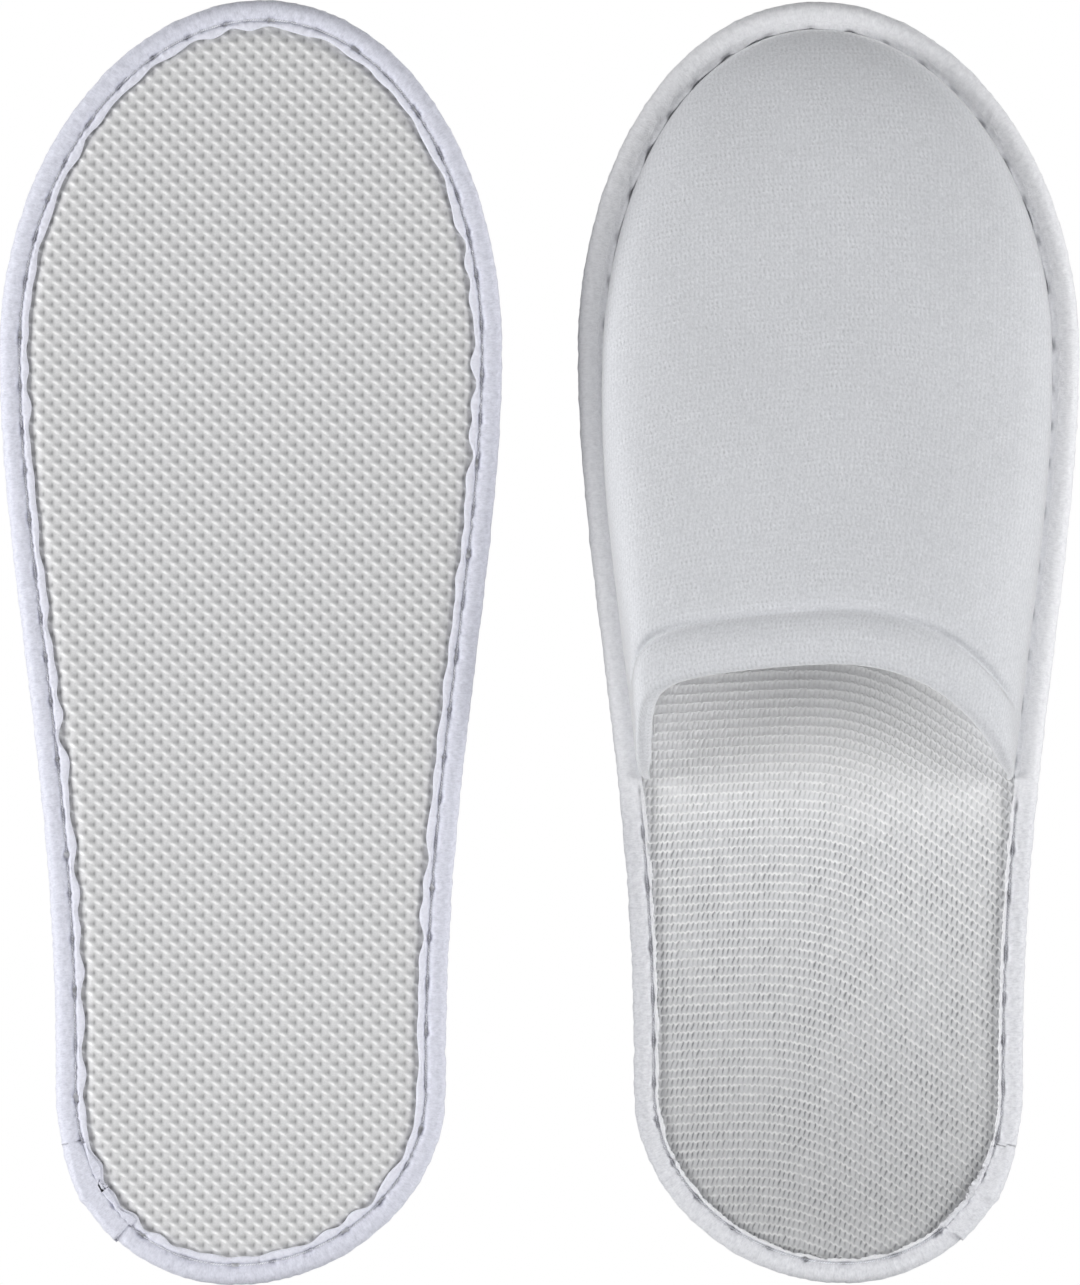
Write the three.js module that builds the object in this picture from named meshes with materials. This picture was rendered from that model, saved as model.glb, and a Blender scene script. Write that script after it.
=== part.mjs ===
// A pair of soft closed-toe spa slippers. Millimetres, +Z up, toes towards +Y.
// The right-hand one stands on its sole with its upper open. Its partner lies beside it
// turned over, with its sole up and its upper pressed flat, as such slippers are packed.
// Each slipper is a stitched stack: outsole, foam, insole, the three layers of the upper,
// and a felt tape that wraps the edge of them all and is sewn through.

import * as THREE from 'three';

// Outline of the sole, seen from above
const slipperLength = 285;
const ballWidth = 111.5;
const heelWidth = 86.5;
const toeRound = 78; // length of the half-ellipse that rounds the toe
const heelRound = 43; // length of the half-ellipse that rounds the heel
const waistBias = 1.2; // above 1, the waist sits nearer the heel
const toeLean = -2.6; // sideways shift of the tip of the toe
const heelLean = 3.3; // sideways shift of the back of the heel
const flexBehindThroat = 22; // from the ends of the opening back to the line of the bend
const flexGap = 0.4; // slit between the two lengths of each sole layer

// Stack of the sole, from the ground up
const outsoleThickness = 3;
const outsoleRimLift = 1.2; // the stitched rim is pinched this far up from the ground
const rimPinchRise = 0.35; // and rises this much more towards its edge
const rimSlant = 0.1; // slope of the step at the tape's edge
const midsoleThickness = 1.5;
const insoleThickness = 0.8;
const layerGap = 0.1;
const rimClearance = 0.1; // between the layers and the inside of the tape

// Felt tape round the edge
const tapeThickness = 1;
const lapUnder = 6.2; // how far the tape reaches in under the sole
const lapOver = 5.4; // how far it reaches in on the upper side
const tapeRound = 1.6; // how far in the roll's rounded corners start
const tapeRoundHeight = 2.2; // how far up they reach
const tapeStepLength = 12; // over which its top steps down behind the upper
const seamInset = 4.2; // from the edge to the line of stitches
const threadDiameter = 0.5;
const grooveHalfWidth = 0.65;
const grooveDepth = 0.8;
const threadBelowTape = 0.04; // the threads lie just inside the mouths of their grooves

// Upper
const upperLength = 172.5; // from the tip of the toe to where the opening meets the sole
const throatArch = 27; // how far the middle of the opening lies ahead of its ends
const throatSharpness = 1.5;
const liningThickness = 0.6;
const upperFoamThickness = 1.2;
const coverThickness = 0.7;
const plyGap = 0.3;
const liningFlange = 0.4; // thickness where the lining runs out into the seam
const coverFlange = 0.5;
const flangeInset = 2.2; // edge of both flanges, inside the tape
const footClearance = 0.8; // from the tape's edge to the foot of the upper
const hemDepth = 10; // cloth turned in at the opening
const hemThickness = 0.6;
const flapGap = 0.5; // between the lining and the turned-in flap
const hemTuck = 0.2; // the roll stays this far inside the face of the cover
const hemLip = 1.6; // thickness of the rolled edge
const hemGap = 0.9; // from the cut edge of the layers to the inside of the roll
const hemThreadGap = 0.15; // between the flap and its row of stitches
const hemThreadInset = 8; // from the edge of the opening to its row of stitches

// The same upper in its two states: heights are inside, above the insole
const openUpper = {
  toeHeight: 10,
  toeRoll: 50,
  rise: 19,
  riseBias: 1.25,
  squareToe: 2.3,
  squareLeft: 4.6,
  squareRight: 2.1,
  bulge: 0,
  skew: 0,
};
const flatUpper = {
  toeHeight: 9.5,
  toeRoll: 26,
  rise: 0,
  riseBias: 1,
  squareToe: 3.4,
  squareLeft: 3.4,
  squareRight: 3.4,
  bulge: 3.4,
  skew: 5.2,
};
const bulgeRun = 90; // distance from the toe over which bulge and skew grow to full

// The pair
const pairGap = 16.8;

// Fineness of the facets
const foreSideSteps = 6;
const toeSteps = 16;
const heelSideSteps = 2;
const heelSteps = 10;
const upperRows = 10;
const archSteps = 14;
const threadSides = 5;

// Derived levels and places
const toeCentreY = slipperLength / 2 - toeRound;
const heelCentreY = heelRound - slipperLength / 2;
const throatEndY = slipperLength / 2 - upperLength;
const flexY = throatEndY - flexBehindThroat;
const layerInset = tapeThickness + rimClearance;
const midsoleBottom = outsoleThickness + layerGap;
const midsoleTop = midsoleBottom + midsoleThickness;
const insoleBottom = midsoleTop + layerGap;
const insoleTop = insoleBottom + insoleThickness;
const liningBase = insoleTop + layerGap;
const coverBase = liningBase + liningFlange + layerGap;
const coverFlangeTop = coverBase + coverFlange;
const tapeUnder = outsoleRimLift - rimClearance - tapeThickness;
const foamOffset = liningThickness + plyGap;
const coverOffset = foamOffset + upperFoamThickness + plyGap;
const upperThickness = coverOffset + coverThickness;
const footInset = lapOver + footClearance + upperThickness;

// Half the width at a distance y along the slipper, for an outline drawn in by inset:
// a half-ellipse at each end and an easing curve between them.
function halfWidth(y, inset) {
  if (y > toeCentreY) {
    const t = Math.min(1, (y - toeCentreY) / (toeRound - inset));
    return (ballWidth / 2 - inset) * Math.sqrt(1 - t * t);
  }
  if (y < heelCentreY) {
    const t = Math.min(1, (heelCentreY - y) / (heelRound - inset));
    return (heelWidth / 2 - inset) * Math.sqrt(1 - t * t);
  }
  const t = ((y - heelCentreY) / (toeCentreY - heelCentreY)) ** waistBias;
  const ease = t * t * (3 - 2 * t);
  return heelWidth / 2 + ((ballWidth - heelWidth) / 2) * ease - inset;
}

// The centre line swings a little to one side at the toe and to the other at the heel.
function centreX(y) {
  const toe = Math.max(0, (y - toeCentreY) / toeRound);
  const heel = Math.max(0, (heelCentreY - y) / heelRound);
  return toeLean * toe * toe + heelLean * heel * heel;
}

// A station is a place on the edge: a function from an inset to a point of the outline.
function sideStation(side, y) {
  return (inset) => new THREE.Vector2(centreX(y) + side * halfWidth(y, inset), y);
}

function roundStation(centreY, width, length, angle) {
  return (inset) => {
    const y = centreY + (length - inset) * Math.sin(angle);
    return new THREE.Vector2(centreX(y) + (width / 2 - inset) * Math.cos(angle), y);
  };
}

// Stations of one length of the sole, counter-clockwise from one end of the bend line
// to the other: along a side, round the end, and back along the other side.
function soleStations(side, cutY, centreY, sideSteps, width, length, startAngle, roundSteps) {
  const stations = [];
  for (let i = 0; i < sideSteps; i += 1) {
    stations.push(sideStation(side, THREE.MathUtils.lerp(cutY, centreY, i / sideSteps)));
  }
  for (let i = 0; i <= roundSteps; i += 1) {
    const angle = startAngle + (Math.PI * i) / roundSteps;
    stations.push(roundStation(centreY, width, length, angle));
  }
  for (let i = 1; i <= sideSteps; i += 1) {
    stations.push(sideStation(-side, THREE.MathUtils.lerp(centreY, cutY, i / sideSteps)));
  }
  return stations;
}

const foreStations = soleStations(
  1, flexY + flexGap / 2, toeCentreY, foreSideSteps, ballWidth, toeRound, 0, toeSteps);
const heelStations = soleStations(
  -1, flexY - flexGap / 2, heelCentreY, heelSideSteps, heelWidth, heelRound, Math.PI, heelSteps);

// A closed body from its corners and triangles, turned to face outwards.
function closedBody(corners, triangles) {
  let volume = 0;
  for (const [a, b, c] of triangles) {
    volume += corners[a].dot(corners[b].clone().cross(corners[c]));
  }
  const positions = [];
  for (const [a, b, c] of triangles) {
    const order = volume > 0 ? [a, b, c] : [a, c, b];
    const face = order.map((index) => corners[index]);
    const sides = [face[0].distanceTo(face[1]), face[1].distanceTo(face[2]), face[2].distanceTo(face[0])];
    if (Math.min(...sides) > 1e-6) {
      face.forEach((corner) => positions.push(corner.x, corner.y, corner.z));
    }
  }
  const geometry = new THREE.BufferGeometry();
  geometry.setAttribute('position', new THREE.Float32BufferAttribute(positions, 3));
  geometry.computeVertexNormals();
  return geometry;
}

// Two triangles for each cell of a grid of corners numbered row by row.
function gridTriangles(rows, columns, start, closed) {
  const triangles = [];
  for (let row = 0; row < rows - 1; row += 1) {
    for (let column = 0; column < (closed ? columns : columns - 1); column += 1) {
      const a = start + row * columns + column;
      const b = start + row * columns + ((column + 1) % columns);
      triangles.push([a, b, b + columns], [a, b + columns, a + columns]);
    }
  }
  return triangles;
}

// Triangles that fill an outline, wound the way its points run.
function fillOutline(outline) {
  const faces = THREE.ShapeUtils.triangulateShape(outline, []);
  return THREE.ShapeUtils.isClockWise(outline) ? faces.map(([a, b, c]) => [c, b, a]) : faces;
}

// A flat layer: rings of the outline, each at its own inset and height, capped at both ends.
function layerBody(stations, levels) {
  const corners = [];
  for (const { inset, z } of levels) {
    for (const station of stations) {
      const point = station(inset);
      corners.push(new THREE.Vector3(point.x, point.y, z));
    }
  }
  const count = stations.length;
  const triangles = gridTriangles(levels.length, count, 0, true);
  const capAt = (level, flip) => {
    const ring = stations.map((station) => station(levels[level].inset));
    for (const triangle of fillOutline(ring)) {
      const face = triangle.map((index) => index + level * count);
      triangles.push(flip ? face.reverse() : face);
    }
  };
  capAt(0, true);
  capAt(levels.length - 1, false);
  return closedBody(corners, triangles);
}

// A strip: a closed profile carried along a run of places and capped at both ends.
// place(step, point) puts a profile point at a step of the run.
function stripBody(steps, profile, place) {
  const corners = [];
  for (let step = 0; step < steps; step += 1) {
    profile(step).forEach((point) => corners.push(place(step, point)));
  }
  const flatProfile = profile(0).map(([a, b]) => new THREE.Vector2(a, b));
  const count = flatProfile.length;
  const triangles = gridTriangles(steps, count, 0, true);
  const last = (steps - 1) * count;
  for (const [a, b, c] of fillOutline(flatProfile)) {
    triangles.push([c, b, a], [a + last, b + last, c + last]);
  }
  return closedBody(corners, triangles);
}

function edgeStrip(stations, profileAt) {
  return stripBody(
    stations.length,
    (step) => profileAt(stations[step](0).y),
    (step, [inset, z]) => {
      const point = stations[step](inset);
      return new THREE.Vector3(point.x, point.y, z);
    });
}

// Top of the tape: it lies on the upper's flanges ahead of the opening, and steps down
// to the bare insole behind it.
function tapeTop(y) {
  const overUpper = THREE.MathUtils.smoothstep(y, throatEndY - tapeStepLength, throatEndY - 1);
  const below = THREE.MathUtils.lerp(insoleTop, coverFlangeTop, overUpper);
  return below + layerGap + tapeThickness;
}

// Section of the tape as [inset, z], a C with a groove for the thread above and below.
function tapeProfile(y) {
  const top = tapeTop(y);
  return [
    [lapUnder, tapeUnder],
    [seamInset + grooveHalfWidth, tapeUnder],
    [seamInset, tapeUnder + grooveDepth],
    [seamInset - grooveHalfWidth, tapeUnder],
    [tapeRound, tapeUnder],
    [tapeRound / 4, tapeUnder + tapeRound / 2],
    [0, tapeUnder + tapeRoundHeight],
    [0, top - tapeRoundHeight],
    [tapeRound / 4, top - tapeRound / 2],
    [tapeRound, top],
    [seamInset - grooveHalfWidth, top],
    [seamInset, top - grooveDepth],
    [seamInset + grooveHalfWidth, top],
    [lapOver, top],
    [lapOver, top - tapeThickness],
    [tapeThickness, top - tapeThickness],
    [tapeThickness, tapeUnder + tapeThickness],
    [lapUnder, tapeUnder + tapeThickness],
  ];
}

function roundProfile(centreA, centreB, diameter) {
  const points = [];
  for (let side = 0; side < threadSides; side += 1) {
    const angle = (2 * Math.PI * side) / threadSides;
    points.push([
      centreA + (diameter / 2) * Math.cos(angle),
      centreB + (diameter / 2) * Math.sin(angle),
    ]);
  }
  return points;
}

const threadSink = threadDiameter / 2 + threadBelowTape;
const underThreadProfile = () => roundProfile(seamInset, tapeUnder + threadSink, threadDiameter);
const topThreadProfile = (y) => roundProfile(seamInset, tapeTop(y) - threadSink, threadDiameter);

// Front end of the upper's foot line for a surface that lies offset outside the lining.
function footFrontY(offset) {
  return toeCentreY + toeRound - footInset + offset;
}

// The angle across the arch runs from 0 at the right foot to PI at the left one.
// lift is the share of the height and reach the share of the half-width there. The arch
// is a superellipse: round at the toe (run 0), and squarer on each side towards the back.
function archShape(state, angle, run) {
  const lift = Math.sin(angle);
  const side = angle < Math.PI / 2 ? 1 : -1;
  const squareBack = side > 0 ? state.squareRight : state.squareLeft;
  const square = THREE.MathUtils.lerp(state.squareToe, squareBack, Math.min(1, run));
  const reach = side * Math.max(0, 1 - lift ** square) ** (1 / square);
  return { lift, reach };
}

function throatY(lift) {
  return throatEndY + throatArch * lift ** throatSharpness;
}

// The sides swell by the share lift * lift * (1 - lift), which this makes 1 at its peak.
const swellPeak = 27 / 4;

// A point of the upper: the arch at a distance y along the slipper, offset outwards.
function upperPoint(state, angle, y, offset, base) {
  const back = Math.max(0, footFrontY(offset) - y);
  const run = back / (footFrontY(0) - throatEndY);
  const { lift, reach } = archShape(state, angle, run);
  const toeShare = 1 - Math.min(1, back / state.toeRoll);
  const toeCurve = Math.sqrt(1 - toeShare * toeShare);
  const height = (state.toeHeight + offset) * toeCurve + state.rise * run ** state.riseBias;
  const grow = Math.min(1, back / bulgeRun) ** 2;
  const swell = state.bulge * swellPeak * lift * lift * (1 - lift) * grow;
  const lean = state.skew * lift * lift * grow;
  const width = halfWidth(y, footInset - offset) + swell;
  return new THREE.Vector3(centreX(y) + width * reach + lean, y, base + height * lift);
}

// Rows are close together at the toe. The last two are the opening's edge and the line
// hemDepth ahead of it, so the flat stretch between them matches the hem's flap.
function rowY(row, frontY, endY) {
  if (row === upperRows) {
    return endY;
  }
  const share = 1 - Math.cos((Math.PI / 2) * (row / (upperRows - 1)));
  return THREE.MathUtils.lerp(frontY, endY + hemDepth, share);
}

// One surface of an upper layer: rows from the toe to the opening, and in each row the
// edge of the flange, the arch from right to left, and the edge of the other flange.
function upperSurface(state, offset, base, withFlange) {
  const corners = [];
  const flangeFront = toeCentreY + toeRound - flangeInset;
  for (let row = 0; row <= upperRows; row += 1) {
    const flangeY = rowY(row, flangeFront, throatEndY);
    const flangeCorner = (side) => new THREE.Vector3(
      centreX(flangeY) + side * halfWidth(flangeY, flangeInset), flangeY, base);
    if (withFlange) {
      corners.push(flangeCorner(1));
    }
    for (let step = 0; step <= archSteps; step += 1) {
      const angle = (Math.PI * step) / archSteps;
      const y = rowY(row, footFrontY(offset), throatY(Math.sin(angle)));
      corners.push(upperPoint(state, angle, y, offset, base));
    }
    if (withFlange) {
      corners.push(flangeCorner(-1));
    }
  }
  return corners;
}

// A layer of the upper: its outer and inner surfaces, closed along the edges.
function upperBody(state, inner, outer, withFlange) {
  const columns = archSteps + 1 + (withFlange ? 2 : 0);
  const rows = upperRows + 1;
  const outside = upperSurface(state, outer.offset, outer.base, withFlange);
  const inside = upperSurface(state, inner.offset, inner.base, withFlange);
  const corners = [...outside, ...inside];
  const shift = outside.length;
  const triangles = gridTriangles(rows, columns, 0, false);
  for (const [a, b, c] of gridTriangles(rows, columns, shift, false)) {
    triangles.push([a, c, b]);
  }
  const wall = (a, b) => triangles.push([b, a, a + shift], [b, a + shift, b + shift]);
  for (let row = 0; row < rows - 1; row += 1) {
    wall((row + 1) * columns, row * columns);
    wall(row * columns + columns - 1, (row + 1) * columns + columns - 1);
  }
  for (let column = 0; column < columns - 1; column += 1) {
    wall((rows - 1) * columns + column + 1, (rows - 1) * columns + column);
  }
  return closedBody(mergeCorners(corners), triangles);
}

// At the toe every column starts from the same two corners, so those are made one.
function mergeCorners(corners) {
  const kept = [];
  return corners.map((corner) => {
    const twin = kept.find((other) => other.distanceTo(corner) < 1e-4);
    if (!twin) {
      kept.push(corner);
    }
    return twin ?? corner;
  });
}

// The hem as [distance behind the opening's edge, offset]: a flap inside the lining that
// turns round the cut edge of the layers in a soft lip.
const hemProfile = [
  [-hemDepth, -flapGap],
  [hemGap, -flapGap],
  [hemGap, upperThickness - hemTuck],
  [hemGap + hemLip * 0.5, upperThickness - hemTuck],
  [hemGap + hemLip, upperThickness * 0.6],
  [hemGap + hemLip, upperThickness * 0.15],
  [hemGap + hemLip * 0.4, -flapGap - hemThickness],
  [-hemDepth, -flapGap - hemThickness],
];

// A strip along the opening's arch. Its foot stands higher where the strip lies further
// out, as the layers of the upper do.
function archStrip(state, profile) {
  return stripBody(
    archSteps + 1,
    () => profile,
    (step, [behind, offset]) => {
      const angle = (Math.PI * step) / archSteps;
      const outward = THREE.MathUtils.clamp(offset / upperThickness, 0, 1);
      const base = THREE.MathUtils.lerp(liningBase, coverFlangeTop, outward);
      return upperPoint(state, angle, throatY(Math.sin(angle)) - behind, offset, base);
    });
}

const hemThreadOffset = -flapGap - hemThickness - hemThreadGap - threadDiameter / 2;
const hemThreadProfile = roundProfile(-hemThreadInset, hemThreadOffset, threadDiameter);

function finish(color, roughness) {
  return new THREE.MeshStandardMaterial({ color, roughness, metalness: 0, flatShading: true });
}

const finishes = {
  outsole: finish(0xc7c7c8, 0.75),
  foam: finish(0xe3e1da, 0.9),
  insole: finish(0xc4c6c9, 0.95),
  cloth: finish(0xd6d8dc, 0.95),
  felt: finish(0xd0d1da, 0.9),
  thread: finish(0xe6e7ea, 0.7),
};

function piece(name, geometry, material) {
  const mesh = new THREE.Mesh(geometry, material);
  mesh.name = name;
  return mesh;
}

// One slipper: its sole in two lengths that meet at the bend line, and its upper.
function slipper(prefix, state) {
  const group = new THREE.Group();
  const lengths = { forepart: foreStations, heel: heelStations };
  const flat = (bottom, top) => [
    { inset: layerInset, z: bottom },
    { inset: layerInset, z: top },
  ];
  const outsoleLevels = [
    { inset: lapUnder + layerGap + rimSlant, z: 0 },
    { inset: lapUnder + layerGap, z: outsoleRimLift },
    { inset: layerInset, z: outsoleRimLift + rimPinchRise },
    { inset: layerInset, z: outsoleThickness },
  ];
  for (const [length, stations] of Object.entries(lengths)) {
    const add = (part, geometry, material) => {
      group.add(piece(`${prefix}_${part}_${length}`, geometry, material));
    };
    add('outsole', layerBody(stations, outsoleLevels), finishes.outsole);
    add('midsole_foam', layerBody(stations, flat(midsoleBottom, midsoleTop)), finishes.foam);
    add('insole', layerBody(stations, flat(insoleBottom, insoleTop)), finishes.insole);
    add('edge_tape', edgeStrip(stations, tapeProfile), finishes.felt);
    add('under_thread', edgeStrip(stations, underThreadProfile), finishes.thread);
    add('top_thread', edgeStrip(stations, topThreadProfile), finishes.thread);
  }
  const lining = upperBody(
    state,
    { offset: 0, base: liningBase },
    { offset: liningThickness, base: liningBase + liningFlange },
    true);
  const foam = upperBody(
    state,
    { offset: foamOffset, base: coverBase },
    { offset: foamOffset + upperFoamThickness, base: coverBase },
    false);
  const cover = upperBody(
    state,
    { offset: coverOffset, base: coverBase },
    { offset: upperThickness, base: coverFlangeTop },
    true);
  group.add(piece(`${prefix}_upper_lining`, lining, finishes.cloth));
  group.add(piece(`${prefix}_upper_foam`, foam, finishes.foam));
  group.add(piece(`${prefix}_upper_cover`, cover, finishes.cloth));
  group.add(piece(`${prefix}_throat_hem`, archStrip(state, hemProfile), finishes.cloth));
  group.add(piece(
    `${prefix}_hem_thread`, archStrip(state, hemThreadProfile), finishes.thread));
  return group;
}

const upright = slipper('upright', openUpper);
upright.position.x = (ballWidth + pairGap) / 2;

const turned = slipper('turned', flatUpper);
turned.rotation.y = Math.PI;
turned.position.x = -(ballWidth + pairGap) / 2;
turned.position.z = coverFlangeTop + flatUpper.toeHeight + flatUpper.rise + upperThickness;

const pair = new THREE.Group();
pair.add(upright, turned);

// The frame's origin is on the ground under the middle of the pair.
pair.updateMatrixWorld(true);
const bounds = new THREE.Box3().setFromObject(pair, true);
const middle = bounds.getCenter(new THREE.Vector3());
pair.position.set(-middle.x, -middle.y, -bounds.min.z);

export default pair;
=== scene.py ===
import math
from functools import partial

import bpy
import numpy as np
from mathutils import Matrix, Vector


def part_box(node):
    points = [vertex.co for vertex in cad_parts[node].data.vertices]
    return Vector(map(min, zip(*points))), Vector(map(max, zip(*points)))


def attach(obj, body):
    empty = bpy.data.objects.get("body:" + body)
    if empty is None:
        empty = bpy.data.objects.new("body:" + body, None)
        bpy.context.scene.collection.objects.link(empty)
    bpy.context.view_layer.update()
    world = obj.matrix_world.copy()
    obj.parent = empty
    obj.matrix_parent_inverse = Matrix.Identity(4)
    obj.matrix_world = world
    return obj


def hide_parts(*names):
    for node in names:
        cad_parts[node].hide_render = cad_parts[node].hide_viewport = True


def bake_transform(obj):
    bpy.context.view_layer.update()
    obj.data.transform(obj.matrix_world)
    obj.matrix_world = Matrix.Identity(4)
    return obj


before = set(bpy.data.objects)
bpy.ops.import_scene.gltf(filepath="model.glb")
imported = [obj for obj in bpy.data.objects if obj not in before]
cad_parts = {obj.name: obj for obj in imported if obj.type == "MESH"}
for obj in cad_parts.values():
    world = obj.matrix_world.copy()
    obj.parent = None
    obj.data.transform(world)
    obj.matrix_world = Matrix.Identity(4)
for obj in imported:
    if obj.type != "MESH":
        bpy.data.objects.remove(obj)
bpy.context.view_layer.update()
print("frame loaded:", len(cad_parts), "nodes")

# Shapes are worked out in millimetres in a slipper's own frame, with its sole down on 0,
# its toe towards +Y and its middle line near x = 0. place() takes them to the pair's frame.
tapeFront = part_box("upright_edge_tape_forepart")
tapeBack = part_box("upright_edge_tape_heel")
soleShape = {
    "length": 1000 * (tapeFront[1].y - tapeBack[0].y),
    "ball": 1000 * (tapeFront[1].x - tapeFront[0].x),
    "heel": 86.5,  # width at the heel
    "toeRound": 78.0,  # length of the half-ellipse round the toe
    "heelRound": 43.0,
    "waistBias": 1.2,
    "toeLean": -2.6,
    "heelLean": 3.3,
}
tipY = soleShape["length"] / 2  # how far the toe and the heel reach
toeCentre = tipY - soleShape["toeRound"]
heelCentre = soleShape["heelRound"] - tipY

# Levels of the stack, from the ground up
levels = {
    "liningBase": 5.6,
    "coverBase": 6.1,
    "flangeTop": 6.6,
    "tapeTopBack": 6.6,  # top of the tape behind the opening
    "tapeTopFront": 7.7,  # and ahead of it, over the upper's edge
}
throatEnd = -30.0  # where the opening meets the sole

pair = {
    "upright": {"centre": 500 * (tapeFront[0].x + tapeFront[1].x), "turned": False},
    "turned": {"centre": -500 * (tapeFront[0].x + tapeFront[1].x), "turned": True},
}
turnedTop = 1000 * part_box("turned_outsole_forepart")[1].z


def addObject(name, data):
    made = bpy.data.objects.new(name, data)
    bpy.context.scene.collection.objects.link(made)
    return made


def setInputs(node, values):
    for socket, value in values.items():
        node.inputs[socket].default_value = value


def place(points, slipper):
    # to metres in the pair's frame: a shift, after half a turn about Y for the turned one
    x, y, z = points[..., 0], points[..., 1], points[..., 2]
    if slipper["turned"]:
        x, z = -x, turnedTop - z
    return np.stack([x + slipper["centre"], y, z], axis=-1) / 1000


def smooth(value, low, high):
    # 0 below low, 1 above high, and an easing cubic between them
    t = np.clip((value - low) / (high - low), 0, 1)
    return t * t * (3 - 2 * t)


def halfWidth(y, inset):
    # an easing curve from heel to ball, times a half-ellipse at each end
    toe = np.clip((y - toeCentre) / (soleShape["toeRound"] - inset), 0, 1)
    heel = np.clip((heelCentre - y) / (soleShape["heelRound"] - inset), 0, 1)
    t = np.clip((y - heelCentre) / (toeCentre - heelCentre), 0, 1) ** soleShape["waistBias"]
    grown = soleShape["heel"] + (soleShape["ball"] - soleShape["heel"]) * t * t * (3 - 2 * t)
    return (grown / 2 - inset) * np.sqrt(1 - toe**2) * np.sqrt(1 - heel**2)


def centreX(y):
    # the middle line leans by the square of the way into the toe and into the heel
    toe = np.maximum(0, (y - toeCentre) / soleShape["toeRound"])
    heel = np.maximum(0, (heelCentre - y) / soleShape["heelRound"])
    return soleShape["toeLean"] * toe**2 + soleShape["heelLean"] * heel**2


def lengths(points):
    # distance along a line of points, or along each row of a grid of them
    steps = np.linalg.norm(np.diff(points, axis=-2), axis=-1)
    start = np.zeros((*steps.shape[:-1], 1))
    return np.concatenate([start, np.cumsum(steps, axis=-1)], axis=-1)


def insetOf(x, y):
    # how far in from the edge a point lies: halving steps on the nested outlines
    low = np.zeros_like(x)
    high = np.full_like(x, 42.0)
    for _ in range(16):
        middle = (low + high) / 2
        inside = np.abs(x - centreX(y)) <= halfWidth(y, middle)
        low = np.where(inside, middle, low)
        high = np.where(inside, high, middle)
    return low


def soleOutline(count):
    # right side, toe, left side and heel in turn, respaced evenly along its length
    share = np.linspace(0, 1, 400, endpoint=False)
    sideY = heelCentre + (toeCentre - heelCentre) * share
    backY = toeCentre + (heelCentre - toeCentre) * share
    toeY = toeCentre + soleShape["toeRound"] * np.sin(math.pi * share)
    heelY = heelCentre - soleShape["heelRound"] * np.sin(math.pi * share)
    x = np.concatenate([
        centreX(sideY) + halfWidth(sideY, 0),
        centreX(toeY) + soleShape["ball"] / 2 * np.cos(math.pi * share),
        centreX(backY) - halfWidth(backY, 0),
        centreX(heelY) - soleShape["heel"] / 2 * np.cos(math.pi * share),
    ])
    y = np.concatenate([sideY, toeY, backY, heelY])
    closedX, closedY = np.append(x, x[0]), np.append(y, y[0])
    along = np.concatenate([[0], np.cumsum(np.hypot(np.diff(closedX), np.diff(closedY)))])
    want = np.linspace(0, along[-1], count, endpoint=False)
    points = np.stack([np.interp(want, along, closedX), np.interp(want, along, closedY)], axis=1)
    ahead = np.roll(points, -3, axis=0) - np.roll(points, 3, axis=0)
    ahead /= np.linalg.norm(ahead, axis=1)[:, None]
    inward = np.stack([-ahead[:, 1], ahead[:, 0]], axis=1)
    return points, inward, along[-1], want / along[-1]


def loopNoise(share, seed, low, high):
    # a sum of waves that closes on itself: low to high waves round the loop
    draw = np.random.default_rng(seed)
    waves = np.arange(low, high)
    phase = draw.uniform(0, 2 * math.pi, len(waves))
    size = draw.uniform(0.4, 1.0, len(waves))
    total = (size * np.cos(2 * math.pi * share[..., None] * waves + phase)).sum(-1)
    return total / np.sqrt((size**2).sum() / 2)


def surfaceNoise(u, v, seed, count, uWaves, vWaves):
    # a sum of slanted waves in two parameters, whole waves in u
    draw = np.random.default_rng(seed)
    total = np.zeros(np.broadcast(u, v).shape)
    for _ in range(count):
        wave = draw.integers(uWaves[0], uWaves[1])
        slant = draw.uniform(vWaves[0], vWaves[1]) * draw.choice([-1, 1])
        total += np.cos(2 * math.pi * (wave * u + slant * v) + draw.uniform(0, 2 * math.pi))
    return total / math.sqrt(count / 2)


def gridFaces(rows, columns, wrapRows=False, wrapColumns=False):
    # quads of a grid numbered row by row, and the same quads on an unwrapped grid for UVs
    row, column = np.meshgrid(
        np.arange(rows if wrapRows else rows - 1),
        np.arange(columns if wrapColumns else columns - 1), indexing="ij")
    row, column = row.ravel(), column.ravel()
    steps = [(0, 0), (0, 1), (1, 1), (1, 0)]
    faces = [(row + a) % rows * columns + (column + b) % columns for a, b in steps]
    width = columns + 1 if wrapColumns else columns
    corners = [(row + a) * width + column + b for a, b in steps]
    return np.stack(faces, axis=1), np.stack(corners, axis=1)


def gridUv(rows, columns, rowEnd=1.0):
    # an even grid of UVs, with its rows counted along U
    u, v = np.meshgrid(np.linspace(0, rowEnd, rows), np.linspace(0, 1, columns), indexing="ij")
    return np.stack([u, v], axis=-1).reshape(-1, 2)


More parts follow.
